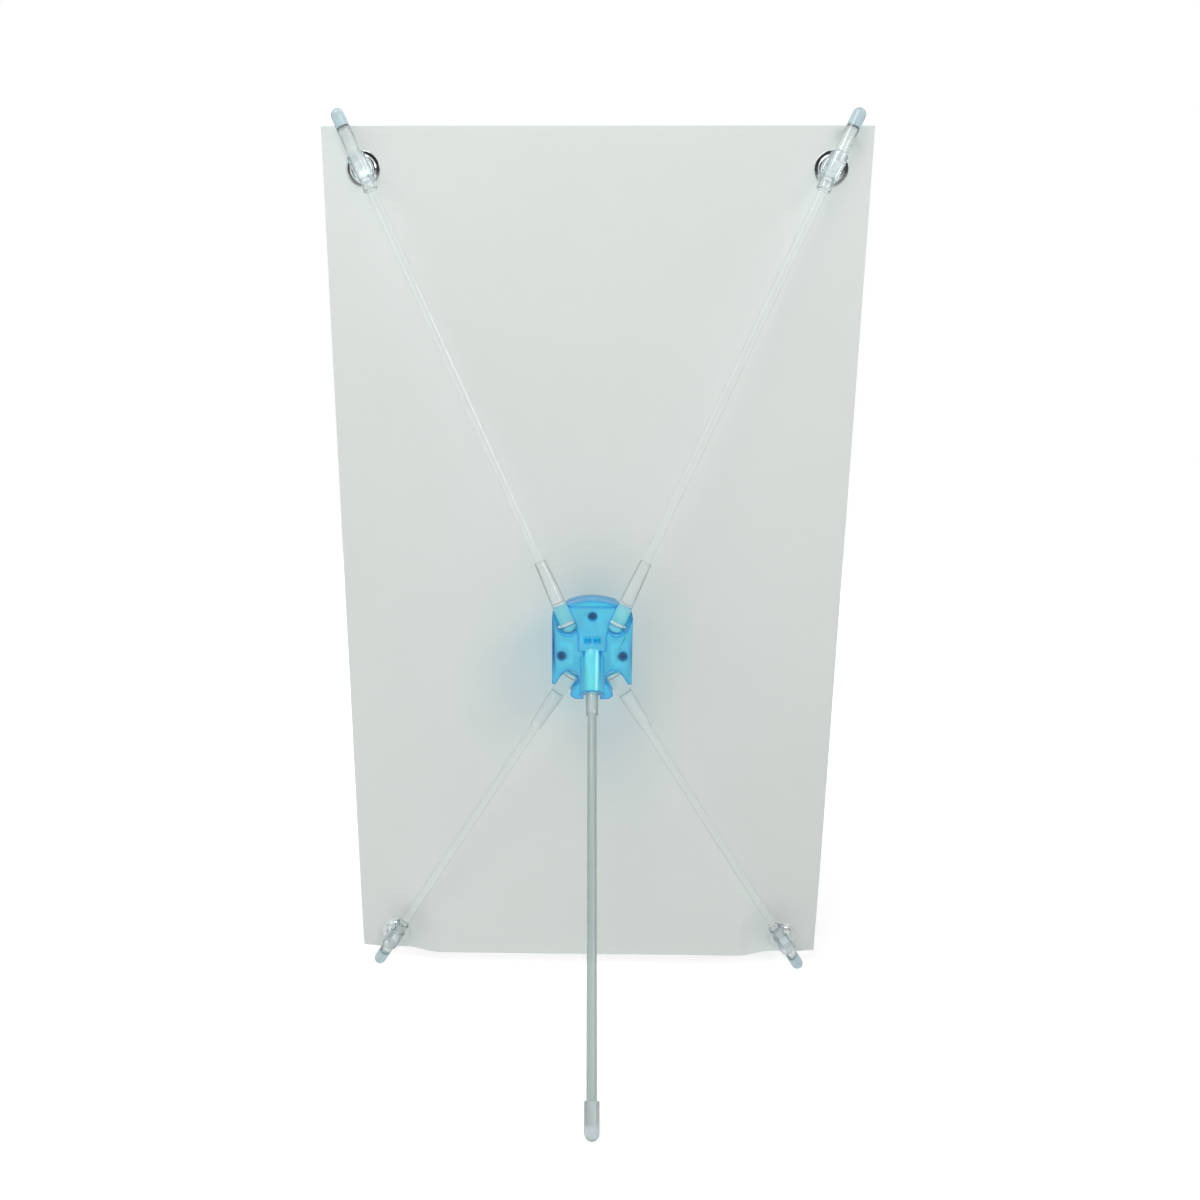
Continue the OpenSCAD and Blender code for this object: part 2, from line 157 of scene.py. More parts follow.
def corners(node):
    """A node's corners as rows of across, back and up."""
    points = np.array([vertex.co for vertex in NODES[node].data.vertices])
    return points @ np.array([ACROSS, BACK, UP]).T


def reach_along(node, start, axis):
    """First and last place of a node along a line, and its largest radius round that line."""
    offsets = np.array([vertex.co for vertex in NODES[node].data.vertices]) - np.array(start)
    along = offsets @ np.array(axis)
    radius = np.linalg.norm(offsets - np.outer(along, np.array(axis)), axis=1)
    return float(along.min()), float(along.max()), float(radius.max())


SHEET = corners("banner")
SHEET_LOW = SHEET.min(0)
SHEET_SIZE = SHEET.max(0) - SHEET_LOW


def on_sheet(across, back, up):
    """A point of the frame, from the middle of the banner's bottom edge."""
    behind = SHEET_LOW[1] + SHEET_SIZE[1] / 2 + back
    return ACROSS * across + BACK * behind + UP * (SHEET_LOW[2] + up)


def eyelet_places():
    """Across and up of each eyelet's middle on the banner."""
    rings = corners("eyelets")
    waist = (rings[:, 2].min() + rings[:, 2].max()) / 2
    places = []
    for arm in ARMS:
        chosen = rings[:, 2] > waist if arm.startswith("upper") else rings[:, 2] < waist
        chosen &= rings[:, 0] < 0 if arm.endswith("left") else rings[:, 0] > 0
        ring = rings[chosen]
        centre = (ring.min(0) + ring.max(0)) / 2
        places.append((centre[0], centre[2] - SHEET_LOW[2]))
    return places


EYELETS = eyelet_places()


def middle_of_points(node):
    """The mean of a node's corners."""
    points = [vertex.co for vertex in NODES[node].data.vertices]
    return sum(points, Vector()) / len(points)


def limb_line(limb):
    """A limb's hinge and the direction of its rod."""
    hinge = Vector(FOLDS[limb]["pos_m"])
    return hinge, (middle_of_points(f"{limb}_rod") - hinge).normalized()


# The body, the folding joint, and the hinge with the rod's direction, for each arm and the leg.
BODIES = {**{arm: f"{arm}_arm" for arm in ARMS}, "leg": "leg"}
FOLDS = {limb: JOINTS[f"{body}_fold"] for limb, body in BODIES.items()}
LIMBS = {limb: limb_line(limb) for limb in BODIES}


# ---------------------------------------------------------------- what a user can change


class BannerLook(PropertyGroup):
    """Shape and colour of the banner film."""

    cell: FloatProperty(
        name="Cell", description="Largest cell of the sheet's mesh",
        default=2.6 * MM, min=MM, unit="LENGTH")
    bow: FloatProperty(
        name="Bottom bow", description="How far the middle of the bottom edge stands back",
        default=5.5 * MM, unit="LENGTH")
    curl: FloatProperty(
        name="Corner curl", description="How far the lower corners curl forward outside their eyelets",
        default=1.2 * MM, unit="LENGTH")
    fold: FloatProperty(
        name="Tension folds", description="Height of the folds that fan out from the eyelets",
        default=0.8 * MM, unit="LENGTH")
    ripple: FloatProperty(
        name="Ripple", description="Height of the broad unevenness of the film",
        default=0.5 * MM, unit="LENGTH")
    colour: FloatVectorProperty(
        name="Film", description="Colour of the bare film", subtype="COLOR",
        default=(0.73, 0.77, 0.744), min=0, max=1)


class PlasticLook(PropertyGroup):
    """Colours and finish of the clear and the blue plastic."""

    rod_tint: FloatVectorProperty(
        name="Rod tint", description="Colour that light takes on inside the rods", subtype="COLOR",
        default=(0.45, 0.62, 0.62), min=0, max=1)
    cap_tint: FloatVectorProperty(
        name="Cap tint", description="Colour that light takes on inside the caps", subtype="COLOR",
        default=(0.40, 0.60, 0.66), min=0, max=1)
    hub_tint: FloatVectorProperty(
        name="Hub tint", description="Colour that light takes on inside the hub", subtype="COLOR",
        default=(0.04, 0.84, 0.985), min=0, max=1)
    rod_depth: FloatProperty(
        name="Rod depth of colour", description="Absorption of the rods, per metre", default=30.0, min=0)
    cap_depth: FloatProperty(
        name="Cap depth of colour", description="Absorption of the caps, per metre", default=70.0, min=0)
    hub_depth: FloatProperty(
        name="Hub depth of colour", description="Absorption of the hub, per metre", default=160.0, min=0)
    edge_round: FloatProperty(
        name="Edge rounding", description="Width of the rounding along the hub's edges",
        default=0.3 * MM, min=0, unit="LENGTH")


class StudioLook(PropertyGroup):
    """Camera and lamps."""

    eye: FloatVectorProperty(
        name="Camera", description="Where the camera stands", subtype="XYZ", unit="LENGTH",
        default=(0.0072, 0.4707, 0.2477))
    turn: FloatProperty(
        name="Turn", description="How far the camera turns towards +X from looking along -Y",
        default=math.radians(1.0), unit="ROTATION")
    tilt: FloatProperty(
        name="Tilt", description="How far the camera looks down",
        default=math.radians(5.42), unit="ROTATION")
    roll: FloatProperty(
        name="Roll", description="How far the camera is rolled",
        default=math.radians(0.31), unit="ROTATION")
    lens: FloatProperty(name="Lens", description="Focal length in millimetres", default=30.95)
    shift: FloatVectorProperty(
        name="Shift", description="Lens shift across and up, as shares of the frame",
        size=2, default=(0.0338, 0.0114))
    ambient: FloatProperty(name="Ambient", description="Strength of the light from all round", default=0.30)
    key: FloatProperty(name="Key lamp", description="Power of the key lamp", default=5.8, unit="POWER")
    side: FloatProperty(name="Side lamp", description="Power of the side lamp", default=2.8, unit="POWER")
    top: FloatProperty(name="Top lamp", description="Power of the top lamp", default=4.0, unit="POWER")
    fill: FloatProperty(name="Front lamp", description="Power of the front lamp", default=9.5, unit="POWER")
    floor_glow: FloatProperty(
        name="Floor glow", description="Glow under the stand that lifts the floor to white", default=0.42)


# ---------------------------------------------------------------- shader nodes


def add_node(tree, kind, settings=None, at=None, **inputs):
    """Adds a shader node. Inputs are values or sockets, by name with _ for a space, or by place in at."""
    made = tree.nodes.new(kind)
    for name, value in (settings or {}).items():
        setattr(made, name, value)
    wanted = {name.replace("_", " "): value for name, value in inputs.items()}
    wanted.update(at or {})
    for name, value in wanted.items():
        if isinstance(value, bpy.types.NodeSocket):
            tree.links.new(value, made.inputs[name])
        else:
            made.inputs[name].default_value = value
    return made


def rgba(colour):
    """A colour with full alpha."""
    return (*colour, 1.0)


def new_material(name):
    """An empty material and its output node."""
    made = bpy.data.materials.new(name)
    made.use_nodes = True
    made.node_tree.nodes.clear()
    return made, made.node_tree, made.node_tree.nodes.new("ShaderNodeOutputMaterial")


def grain(tree, scale, detail, stretch=(1, 1, 1)):
    """A noise over the object's own coordinates, from 0 to 1."""
    place = add_node(tree, "ShaderNodeTexCoord").outputs["Object"]
    mapped = add_node(tree, "ShaderNodeMapping", Vector=place, Scale=stretch).outputs[0]
    return add_node(tree, "ShaderNodeTexNoise", Vector=mapped, Scale=scale, Detail=detail).outputs["Fac"]


def ranged(tree, value, low, high, start=0.3, end=0.7):
    """The value between start and end, spread from low to high."""
    return add_node(tree, "ShaderNodeMapRange", Value=value, From_Min=start, From_Max=end,
                    To_Min=low, To_Max=high).outputs[0]


def bumped(tree, height, strength, depth):
    """A normal that a height pushes in and out."""
    return add_node(tree, "ShaderNodeBump", Height=height, Strength=strength, Distance=depth).outputs[0]


def two_tone(tree, share, first, second):
    """A mix of two colours."""
    return add_node(tree, "ShaderNodeMix", {"data_type": "RGBA"},
                    at={0: share, 6: rgba(first), 7: rgba(second)}).outputs[2]


def film_white(look):
    """Satin polyester film, slightly cool, with a fine tooth."""
    made, tree, out = new_material("film_white")
    paler = [min(1, c * 1.02) for c in look.colour]
    broad = ranged(tree, grain(tree, 14, 4), 0, 1)
    tooth = grain(tree, 2600, 2)
    shader = add_node(
        tree, "ShaderNodeBsdfPrincipled",
        Base_Color=two_tone(tree, broad, look.colour, paler),
        Roughness=ranged(tree, grain(tree, 60, 4), 0.4, 0.5),
        Normal=bumped(tree, tooth, 0.12, 0.03 * MM),
        Specular_IOR_Level=0.4, IOR=1.5)
    tree.links.new(shader.outputs[0], out.inputs["Surface"])
    return made


def worked_metal(name, tones, rough, marks, relief, metallic=1.0, clouds=None):
    """Metal with fine marks. Its tones follow the marks, or else broader clouds."""
    made, tree, out = new_material(name)
    scratches = grain(tree, *marks)
    shade = grain(tree, *clouds) if clouds else scratches
    shader = add_node(
        tree, "ShaderNodeBsdfPrincipled",
        Base_Color=two_tone(tree, ranged(tree, shade, 0, 1), *tones),
        Roughness=ranged(tree, scratches, *rough),
        Normal=bumped(tree, scratches, *relief),
        Metallic=metallic)
    tree.links.new(shader.outputs[0], out.inputs["Surface"])
    return made


def nickel_plate():
    """Bright plated brass with fine handling marks."""
    return worked_metal(
        "nickel_plate", tones=((0.76, 0.79, 0.79), (0.85, 0.88, 0.88)), rough=(0.06, 0.16),
        marks=(900, 5, (1, 1, 3)), relief=(0.08, 0.02 * MM), clouds=(260, 3))


def zinc_steel():
    """Zinc-plated steel with turning marks."""
    return worked_metal(
        "zinc_steel", tones=((0.66, 0.69, 0.71), (0.76, 0.79, 0.81)), rough=(0.25, 0.42),
        marks=(1400, 4, (1, 1, 6)), relief=(0.15, 0.03 * MM))


def blued_steel():
    """Blued screw steel, oiled."""
    return worked_metal(
        "blued_steel", tones=((0.035, 0.13, 0.28), (0.06, 0.19, 0.36)), rough=(0.3, 0.5),
        marks=(1400, 4, (1, 1, 6)), relief=(0.15, 0.03 * MM), metallic=0.6)


def edge_shade_mask(tree, width):
    """1 on a piece's edges, falling to 0 a width away from them; it places the painted edge shade."""
    rounded = add_node(tree, "ShaderNodeBevel", {"samples": 8}, Radius=width).outputs[0]
    plain = add_node(tree, "ShaderNodeNewGeometry").outputs["Normal"]
    agree = add_node(tree, "ShaderNodeVectorMath", {"operation": "DOT_PRODUCT"}, at={0: rounded, 1: plain})
    return ranged(tree, agree.outputs["Value"], 1, 0, *EDGE_SHADE_RANGE)


def moulded(name, tint, depth, surface, rim, milk, rough, wave, lamp_tint, edge_shade_width=0):
    """See-through plastic: a slightly milky moulded skin, and colour that deepens with thickness.

    The skin turns from the surface's colour to the rim's where it slants away from view and, where
    a width is given, along its edges: both are painted shade, a darker skin in place of the dark
    lines that refraction draws there. Milk is the share of the skin that light doesn't go through,
    and lamp_tint is the colour in which the lamps shine through the whole piece.
    """
    made, tree, out = new_material(name)
    ripples = grain(tree, wave * 0.3, 1)
    # Painted shade: the skin darkens towards the rim's colour where it slants away from view.
    edge = add_node(tree, "ShaderNodeLayerWeight", Blend=0.35).outputs["Facing"]
    share = ranged(tree, edge, 0, 1, *RIM_SHADE_RANGE)
    # Painted shade along the edges too, where a width is given.
    if edge_shade_width:
        share = add_node(tree, "ShaderNodeMath", {"operation": "MAXIMUM"},
                         at={0: share, 1: edge_shade_mask(tree, edge_shade_width)}).outputs[0]
    skin = two_tone(tree, share, surface, rim)
    shader = add_node(
        tree, "ShaderNodeBsdfPrincipled",
        Base_Color=skin,
        Roughness=ranged(tree, grain(tree, wave * 0.5, 3), *rough),
        Normal=bumped(tree, ripples, 0.04, 0.02 * MM),
        Transmission_Weight=1 - milk, IOR=PLASTIC_IOR)
    window = add_node(tree, "ShaderNodeBsdfTransparent", Color=rgba(lamp_tint))
    lamp_ray = add_node(tree, "ShaderNodeLightPath").outputs["Is Shadow Ray"]
    both = add_node(tree, "ShaderNodeMixShader",
                    at={0: lamp_ray, 1: shader.outputs[0], 2: window.outputs[0]})
    tree.links.new(both.outputs[0], out.inputs["Surface"])
    body = add_node(tree, "ShaderNodeVolumeAbsorption", Color=rgba(tint), Density=depth)
    tree.links.new(body.outputs[0], out.inputs["Volume"])
    return made


def clear_rod_plastic(look):
    """Clear plastic of the arms' rods and of the roots."""
    return moulded(
        "clear_rod_plastic", look.rod_tint, look.rod_depth, surface=(0.97, 0.975, 0.97),
        # The rim colour is painted shade where the rod slants from view.
        rim=(0.42, 0.47, 0.46), milk=0.10, rough=(0.12, 0.15), wave=500, lamp_tint=(0.94, 0.955, 0.95))


def clear_cap_plastic(look):
    """Clear plastic of the hook caps."""
    return moulded(
        "clear_cap_plastic", look.cap_tint, look.cap_depth, surface=(0.98, 0.985, 0.98),
        # The rim colour is painted shade where the cap slants from view.
        rim=(0.70, 0.75, 0.76), milk=0.10, rough=(0.12, 0.16), wave=700, lamp_tint=(0.94, 0.955, 0.955))


def smoky_tip_plastic(look):
    """The hook caps' solid tips, which look deeper in colour than their sleeves."""
    return moulded(
        "smoky_tip_plastic", look.cap_tint, look.cap_depth, surface=(0.62, 0.73, 0.755),
        # The rim colour is painted shade where the tip slants from view.
        rim=(0.42, 0.55, 0.60), milk=0.30, rough=(0.14, 0.18), wave=700, lamp_tint=(0.88, 0.92, 0.93))


def frosted_leg_plastic(look):
    """Clear plastic of the leg's rod, with a grey, milky skin painted in for the grey surroundings seen
    through it.
    """
    return moulded(
        "frosted_leg_plastic", look.rod_tint, look.rod_depth, surface=(0.49, 0.57, 0.555),
        # The rim colour is painted shade where the leg slants from view.
        rim=(0.40, 0.48, 0.47), milk=0.46, rough=(0.16, 0.26), wave=600, lamp_tint=(0.80, 0.84, 0.84))


def frosted_foot_plastic(look):
    """Clear plastic of the leg's foot cap, with a paler grey, milky skin painted in for the surroundings
    seen through it.
    """
    return moulded(
        "frosted_foot_plastic", look.rod_tint, look.rod_depth, surface=(0.66, 0.725, 0.73),
        # The rim colour is painted shade where the foot cap slants from view.
        rim=(0.50, 0.58, 0.58), milk=0.52, rough=(0.16, 0.26), wave=600, lamp_tint=(0.84, 0.88, 0.88))


def blue_plastic(look):
    """Translucent blue plastic of the hub, with painted deep-blue shade along its edges and slants."""
    return moulded(
        "blue_plastic", look.hub_tint, look.hub_depth, surface=(0.28, 0.96, 1.0),
        # The rim colour is painted deep-blue shade where the hub slants from view.
        rim=(0.02, 0.30, 0.84), milk=0.33, rough=(0.06, 0.14), wave=420, lamp_tint=(0.78, 0.94, 0.95),
        # The width of the painted deep-blue shade along the hub's edges.
        edge_shade_width=1.3 * MM)


def palette(kind):
    """The stand's materials, made when a piece first asks for them."""
    made = bpy.data.materials.get(kind)
    if made is not None:
        return made
    scene = bpy.context.scene
    makers = {
        "film_white": lambda: film_white(scene.banner_look),
        "nickel_plate": nickel_plate,
        "zinc_steel": zinc_steel,
        "blued_steel": blued_steel,
        "clear_rod_plastic": lambda: clear_rod_plastic(scene.plastic_look),
        "clear_cap_plastic": lambda: clear_cap_plastic(scene.plastic_look),
        "smoky_tip_plastic": lambda: smoky_tip_plastic(scene.plastic_look),
        "frosted_leg_plastic": lambda: frosted_leg_plastic(scene.plastic_look),
        "frosted_foot_plastic": lambda: frosted_foot_plastic(scene.plastic_look),
        "blue_plastic": lambda: blue_plastic(scene.plastic_look),
    }
    return makers[kind]()


# ---------------------------------------------------------------- mesh helpers


def add_piece(name, shape, finish, body, nodes):
    """Makes a piece from a bmesh, with its finish, on its body, in place of the nodes that it shows."""
    mesh = bpy.data.meshes.new(name)
    bmesh.ops.recalc_face_normals(shape, faces=shape.faces)
    if shape.calc_volume(signed=True) < 0:
        bmesh.ops.reverse_faces(shape, faces=shape.faces)
    shape.to_mesh(mesh)
    shape.free()
    mesh.shade_smooth()
    mesh.set_sharp_from_angle(angle=math.radians(SHADED_ANGLE))
    mesh.materials.append(palette(finish))
    piece = bpy.data.objects.new(name, mesh)
    bpy.context.scene.collection.objects.link(piece)
    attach(piece, body)
    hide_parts(*nodes)
    return piece


def turning_axes(axis):
    """Two directions square to an axis, and the axis itself."""
    frame_z = Vector(axis).normalized()
    frame_x = frame_z.orthogonal().normalized()
    return frame_x, frame_z.cross(frame_x), frame_z


def turned(shape, outline, start, axis, steps):
    """Adds a turned solid to shape. The outline is a closed loop of (radius, along the axis)."""
    frame_x, frame_y, frame_z = turning_axes(axis)
    rings = []
    for step in range(steps):
        angle = math.tau * step / steps
        out = frame_x * math.cos(angle) + frame_y * math.sin(angle)
        rings.append([shape.verts.new(Vector(start) + out * radius + frame_z * along)
                      for radius, along in outline])
    count = len(outline)
    for step, ring in enumerate(rings):
        beside = rings[(step + 1) % steps]
        for i in range(count):
            j = (i + 1) % count
            shape.faces.new((ring[i], ring[j], beside[j], beside[i]))


def turned_bar(shape, radius, first, last, start, axis, rounding, steps):
    """Adds a round bar with rounded ends to shape."""
    frame_x, frame_y, frame_z = turning_axes(axis)
    near_end = [(radius - rounding + rounding * math.sin(angle), first + rounding * (1 - math.cos(angle)))
                for angle in np.linspace(0, math.pi / 2, BAR_END_RINGS)]
    straight = [(radius, along) for along in np.linspace(first, last, BAR_RINGS)[1:-1]]
    far_end = [(r, first + last - along) for r, along in reversed(near_end)]
    rings = []
    for r, along in near_end + straight + far_end:
        centre = Vector(start) + frame_z * along
        rings.append([shape.verts.new(centre + frame_x * (r * math.cos(a)) + frame_y * (r * math.sin(a)))
                      for a in np.linspace(0, math.tau, steps, endpoint=False)])
    for ring, beside in zip(rings, rings[1:]):
        for i in range(steps):
            j = (i + 1) % steps
            shape.faces.new((ring[i], ring[j], beside[j], beside[i]))
    shape.faces.new(reversed(rings[0]))
    shape.faces.new(rings[-1])


def arc(centre, size, start, end, steps):
    """Points on an ellipse from one angle to another, in degrees, as (radius, along) pairs."""
    return [(centre[0] + size[0] * math.cos(angle), centre[1] + size[1] * math.sin(angle))
            for angle in np.radians(np.linspace(start, end, steps))]


def softened(node, width):
    """A copy of a node's shape with its sharp edges rounded over, but for those by a touching edge."""
    shape = bmesh.new()
    shape.from_mesh(NODES[node].data)
    bmesh.ops.remove_doubles(shape, verts=shape.verts, dist=WELD_REACH)
    bmesh.ops.dissolve_limit(
        shape, angle_limit=math.radians(FLAT_ANGLE), verts=shape.verts, edges=shape.edges)
    touching = [vertex.co.copy() for edge in shape.edges if len(edge.link_faces) != 2
                for vertex in edge.verts]
    sharp = [edge for edge in shape.edges if edge.calc_face_angle(0) > math.radians(ROUNDED_ANGLE)
             and all((vertex.co - place).length > TOUCH_REACH
                     for vertex in edge.verts for place in touching)]
    bmesh.ops.bevel(
        shape, geom=sharp, offset=width, segments=2, profile=0.5, affect="EDGES", clamp_overlap=False)
    return shape


# ---------------------------------------------------------------- the banner


def smooth_step(value, start, end):
    """0 up to start and 1 from end on, with a soft rise between."""
    share = min(1.0, max(0.0, (value - start) / (end - start)))
    return share * share * (3 - 2 * share)


def breaks(points, largest):
    """Grid lines through the points, with no gap between lines larger than largest."""
    lines = [points[0]]
    for low, high in zip(points, points[1:]):
        count = max(1, math.ceil((high - low) / largest))
        lines += [low + (high - low) * (i + 1) / count for i in range(count)]
    return lines


def freed(distance, reach):
    """0 at an eyelet, rising to 1 where the film is free of it. The reach is in eyelet radii."""
    return smooth_step(distance, EYELET_RADIUS * reach[0], EYELET_RADIUS * reach[1])


def sheet_lift(look, across, up):
    """How far the film stands back from its flat plane."""
    inner = SHEET_SIZE[0] / 2 - abs(across)
    from_top = SHEET_SIZE[2] - up
    bow = look.bow * smooth_step(inner, *BOW_SIDES) * math.exp(-up / BOW_HEIGHT)
    curl = -look.curl * (1 - smooth_step(inner, 0, CURL_WIDTH)) * math.exp(-up / CURL_HEIGHT)
    top_curl = -look.curl * TOP_CURL_SHARE * (1 - smooth_step(inner, 0, TOP_CURL_WIDTH))
    top_curl *= math.exp(-from_top / CURL_HEIGHT)
    ripple = noise.noise(Vector((across * RIPPLES[0], up * RIPPLES[1], RIPPLE_SLICE)))
    lift = bow + look.ripple * ripple
    for place in EYELETS:
        away = Vector((across - place[0], up - place[1]))
        inward = Vector((-place[0], SHEET_SIZE[2] * FOLD_AIM - place[1])).normalized()
        distance = away.length
        lift *= freed(distance, LIFT_REACH)
        if distance > EYELET_RADIUS:
            turn = away.angle_signed(inward, 0)
            fan = math.exp(-((turn / FOLD_FAN) ** 2)) * math.cos(turn * FOLD_WAVES)
            lift += look.fold * fan * freed(distance, FOLD_REACH) * math.exp(-distance / FOLD_LENGTH)
        curl *= freed(distance, CURL_REACH)
    return lift + curl + top_curl


def add_sheet_grid(shape, lines_across, lines_up, holes):
    """Adds the flat sheet's cells to shape, leaving out the cells inside the holes."""
    grid = {}

    def corner(i, j):
        if (i, j) not in grid:
            grid[i, j] = shape.verts.new((lines_across[i], lines_up[j], 0))
        return grid[i, j]

    for i in range(len(lines_across) - 1):
        for j in range(len(lines_up) - 1):
            middle_across = (lines_across[i] + lines_across[i + 1]) / 2
            middle_up = (lines_up[j] + lines_up[j + 1]) / 2
            if any(abs(middle_across - x) < half and abs(middle_up - z) < half for x, z, half in holes):
                continue
            shape.faces.new((corner(i, j), corner(i + 1, j), corner(i + 1, j + 1), corner(i, j + 1)))


def add_round_hole(shape, centre, half_gap, radius):
    """Fills the square gap round a hole with rings of cells that end on a circle."""

    def on_gap(vertex):
        away = vertex.co.xy - centre
        return max(abs(away.x), abs(away.y)) < half_gap * 1.01

    rim = {vertex for edge in shape.edges if edge.is_boundary and all(map(on_gap, edge.verts))
           for vertex in edge.verts}
    square = sorted(rim, key=lambda vertex: math.atan2(vertex.co.y - centre.y, vertex.co.x - centre.x))
    outer = square
    for ring in range(1, HOLE_RINGS + 1):
        share = (ring / HOLE_RINGS) ** HOLE_CROWDING
        inner = []
        for vertex in square:
            on_circle = centre + (vertex.co.xy - centre).normalized() * radius
            place = vertex.co.xy.lerp(on_circle, share)
            inner.append(shape.verts.new((place.x, place.y, 0)))
        for i in range(len(square)):
            j = (i + 1) % len(square)
            shape.faces.new((outer[i], outer[j], inner[j], inner[i]))
        outer = inner


def banner_shape(look):
    """The film as a sheet with round holes, bowed, curled and creased, and given its thickness."""
    half = SHEET_SIZE[0] / 2
    columns = sorted({round(x + side * HOLE_SURROUND, 6) for x, _ in EYELETS for side in (-1, 1)})
    rows = sorted({round(z + side * HOLE_SURROUND, 6) for _, z in EYELETS for side in (-1, 1)})
    lines_across = breaks([-half, *columns, half], look.cell)
    lines_up = breaks([0, *rows, SHEET_SIZE[2]], look.cell)
    shape = bmesh.new()
    add_sheet_grid(shape, lines_across, lines_up, [(x, z, HOLE_SURROUND) for x, z in EYELETS])
    for x, z in EYELETS:
        add_round_hole(shape, Vector((x, z)), HOLE_SURROUND, FILM_HOLE)
    shape.normal_update()
    bmesh.ops.solidify(shape, geom=shape.faces[:], thickness=SHEET_SIZE[1])
    heights = [vertex.co.z for vertex in shape.verts]
    halfway = (min(heights) + max(heights)) / 2
    for vertex in shape.verts:
        across, up, height = vertex.co
        vertex.co = on_sheet(across, sheet_lift(look, across, up) + height - halfway, up)
    return shape


class BANNERSTAND_OT_banner(Operator):
    """Make the banner film"""

    bl_idname = "banner_stand.banner"
    bl_label = "Banner"

    def execute(self, context):
        look = context.scene.banner_look
        piece = add_piece("banner_film", banner_shape(look), "film_white",
                          "banner", ["banner"])
        return {"FINISHED"}


# ---------------------------------------------------------------- eyelets and washers


def ring_sizes(node):
    """Inner and outer radius of a node's first ring, and how far it reaches in front and behind."""
    points = corners(node) - np.array([0, SHEET_LOW[1] + SHEET_SIZE[1] / 2, SHEET_LOW[2]])
    x, z = EYELETS[0]
    away = np.hypot(points[:, 0] - x, points[:, 2] - z)
    ring = away < EYELET_REACH
    return away[ring].min(), away[ring].max(), points[ring, 1].min(), points[ring, 1].max()


def eyelet_outline():
    """Half a section of an eyelet: a domed front flange, a barrel and a rolled rear rim."""
    hole, flange, front, behind = ring_sizes("eyelets")
    _, _, _, washer_behind = ring_sizes("eyelet_washers")
    sheet_front = -SHEET_SIZE[1] / 2
    barrel = hole + BARREL_WALL
    rolled = hole + ROLL_WIDTH
    dome_from = sheet_front - TUCK
    roll_from = washer_behind + TUCK
    outline = arc(((hole + flange) / 2, dome_from), ((flange - hole) / 2, dome_from - front), 0, -180, 15)
    outline += arc(((hole + rolled) / 2, roll_from), ((rolled - hole) / 2, behind - roll_from), 180, 0, 13)
    outline += [(rolled, washer_behind), (barrel, washer_behind), (barrel, sheet_front)]
    outline += [(flange - TUCK, sheet_front)]
    return outline


def washer_outline():
    """Half a section of a washer with rounded edges."""
    hole, outside, front, behind = ring_sizes("eyelet_washers")
    soft = WASHER_ROUND
    rounds = ((outside - soft, behind - soft), (hole + soft, behind - soft),
              (hole + soft, front + soft), (outside - soft, front + soft))
    outline = []
    for quarter, middle in enumerate(rounds):
        outline += arc(middle, (soft, soft), quarter * 90, quarter * 90 + 90, 4)
    return outline


class BANNERSTAND_OT_eyelets(Operator):
    """Make the four eyelets and their washers"""

    bl_idname = "banner_stand.eyelets"
    bl_label = "Eyelets"

    def execute(self, context):
        for name, node, outline in (("corner_eyelets", "eyelets", eyelet_outline()),
                                    ("eyelet_backings", "eyelet_washers", washer_outline())):
            shape = bmesh.new()
            for x, z in EYELETS:
                turned(shape, outline, on_sheet(x, 0, z), BACK, steps=96)
            add_piece(name, shape, "nickel_plate", "banner", [node])
        return {"FINISHED"}


# ---------------------------------------------------------------- the hub


class BANNERSTAND_OT_hub_shells(Operator):
    """Make the two blue shells of the hub"""

    bl_idname = "banner_stand.hub_shells"
    bl_label = "Hub Shells"

    def execute(self, context):
        width = context.scene.plastic_look.edge_round
        for side in ("front", "rear"):
            node = f"hub_{side}_shell"
            shape = softened(node, width)
            add_piece(f"blue_{side}_shell", shape, "blue_plastic", "hub", [node])
        return {"FINISHED"}


class BANNERSTAND_OT_hub_screws(Operator):
    """Make the three screws that hold the hub together"""

    bl_idname = "banner_stand.hub_screws"
    bl_label = "Hub Screws"

    def execute(self, context):
        add_piece("cross_head_screws", softened("hub_screws", SCREW_ROUND), "blued_steel",
                  "hub", ["hub_screws"])
        return {"FINISHED"}


class BANNERSTAND_OT_hinge_pins(Operator):
    """Make the five hinge pins"""

    bl_idname = "banner_stand.hinge_pins"
    bl_label = "Hinge Pins"

    def execute(self, context):
        for limb, joint in FOLDS.items():
            node = f"{limb}_hinge_pin"
            axis = Vector(joint["axis"]).normalized()
            first, last, radius = reach_along(node, joint["pos_m"], axis)
            shape = bmesh.new()
            turned_bar(shape, radius, first, last, joint["pos_m"], axis, SMALL_ROUND, steps=32)
            add_piece(f"{limb}_pin", shape, "zinc_steel", "hub", [node])
        return {"FINISHED"}


# ---------------------------------------------------------------- arms and leg


class BANNERSTAND_OT_roots(Operator):
    """Make the tapered roots that hinge in the hub"""

    bl_idname = "banner_stand.roots"
    bl_label = "Roots"

    def execute(self, context):
        for limb in LIMBS:
            node = f"{limb}_root"
            add_piece(f"{limb}_socket", softened(node, SMALL_ROUND), "clear_rod_plastic",
                      BODIES[limb], [node])
        return {"FINISHED"}


class BANNERSTAND_OT_rods(Operator):
    """Make the drawn plastic rods"""

    bl_idname = "banner_stand.rods"
    bl_label = "Rods"

    def execute(self, context):
        for limb, (hinge, line) in LIMBS.items():
            node = f"{limb}_rod"
            first, last, radius = reach_along(node, hinge, line)
            shape = bmesh.new()
            turned_bar(shape, radius, first, last, hinge, line, ROD_END_ROUND, steps=64)
            # The leg's rod gets painted grey for the surroundings seen through it.
            finish = "clear_rod_plastic" if limb in ARMS else "frosted_leg_plastic"
            add_piece(f"{limb}_clear_rod", shape, finish, BODIES[limb], [node])
        return {"FINISHED"}


